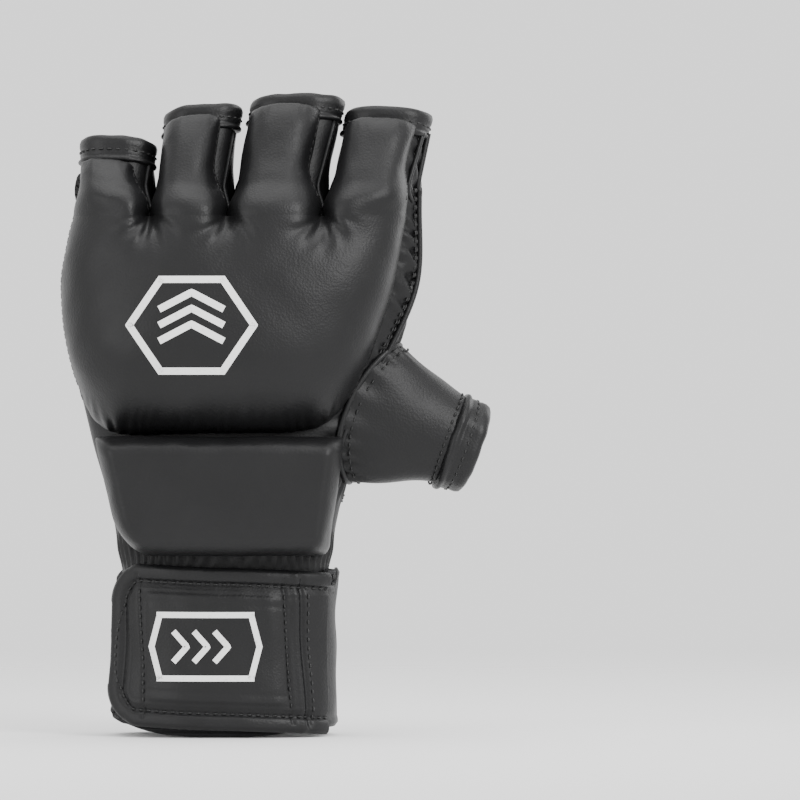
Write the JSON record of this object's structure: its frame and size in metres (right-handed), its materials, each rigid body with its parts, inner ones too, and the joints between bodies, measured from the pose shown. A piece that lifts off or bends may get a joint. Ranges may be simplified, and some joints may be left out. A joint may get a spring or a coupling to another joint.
{
  "type": "mma glove",
  "caption": "Left-hand padded open-finger grappling glove with a wrap-around wrist strap, palm opening and thumb sleeve.",
  "frame": {"origin": "centre of the wrist opening, on the plane of the cuff's rim", "axes": "+Z from the cuff to the fingers, -Y out of the back of the hand, +X to the thumb"},
  "size_m": [0.1578, 0.0726, 0.2391],
  "materials": {
    "leather": "satin grained synthetic leather",
    "edge_leather": "satin folded edge",
    "lining": "matt ribbed textile",
    "elastic": "ribbed webbing",
    "foam": "matt closed-cell foam",
    "loop_fastener": "matt pile",
    "hook_fastener": "matt hooks"
  },
  "bodies": {
    "hand": {"hand_lining": "lining", "palm_panel": "leather", "palm_opening_binding": "edge_leather", "little_side_panel": "leather", "back_panel": "lining", "thumb_side_gusset": "leather", "thumb_heel_panel": "leather", "knuckle_pad_cover": "leather", "knuckle_pad_foam": "foam", "backhand_pad_cover": "leather", "backhand_pad_foam": "foam", "web_index_middle": "leather", "web_middle_ring": "leather", "web_ring_little": "leather", "wrist_slit_binding": "edge_leather", "wrist_slit_insert": "lining", "cuff_lining": "lining", "cuff_panel": "leather", "cuff_rim_hem": "lining", "elastic_band": "elastic", "loop_fastener": "loop_fastener"},
    "thumb": {"thumb_sleeve": "leather", "thumb_hem": "edge_leather"},
    "strap": {"strap_tab": "leather", "strap_edge_binding": "edge_leather", "strap_patch": "leather", "hook_fastener": "hook_fastener"},
    "index": {"index_sleeve": "leather", "index_pad_cover": "leather", "index_pad_foam": "foam", "index_hem": "edge_leather"},
    "middle": {"middle_sleeve": "leather", "middle_pad_cover": "leather", "middle_pad_foam": "foam", "middle_hem": "edge_leather"},
    "ring": {"ring_sleeve": "leather", "ring_pad_cover": "leather", "ring_pad_foam": "foam", "ring_hem": "edge_leather"},
    "little": {"little_sleeve": "leather", "little_pad_cover": "leather", "little_pad_foam": "foam", "little_hem": "edge_leather"}
  },
  "joints": [
    {"name": "index_flex", "type": "hinge", "parent": "hand", "child": "index", "pos_m": [0.05584, 0.0135, 0.2], "axis": [-0.9678, 0, 0.2516], "range_deg": [0, 30], "stiffness_Nm_per_rad": 0.05},
    {"name": "middle_flex", "type": "hinge", "parent": "hand", "child": "middle", "pos_m": [0.02144, 0.0135, 0.2], "axis": [-0.9746, 0, 0.2241], "range_deg": [0, 30], "stiffness_Nm_per_rad": 0.05},
    {"name": "ring_flex", "type": "hinge", "parent": "hand", "child": "ring", "pos_m": [-0.01095, 0.0135, 0.2], "axis": [-0.9874, 0, 0.158], "range_deg": [0, 30], "stiffness_Nm_per_rad": 0.05},
    {"name": "little_flex", "type": "hinge", "parent": "hand", "child": "little", "pos_m": [-0.04006, 0.0135, 0.2], "axis": [-0.9929, 0, 0.1191], "range_deg": [0, 30], "stiffness_Nm_per_rad": 0.05},
    {"name": "thumb_fold", "type": "hinge", "parent": "hand", "child": "thumb", "pos_m": [0.05671, 0.01379, 0.12], "axis": [0.3368, 0.0594, 0.9397], "range_deg": [0, 40], "stiffness_Nm_per_rad": 0.05},
    {"name": "strap_open", "type": "hinge", "parent": "hand", "child": "strap", "pos_m": [0.0413, -0.0156, 0.033], "axis": [0, 0, 1], "range_deg": [0, 150]}
  ]
}
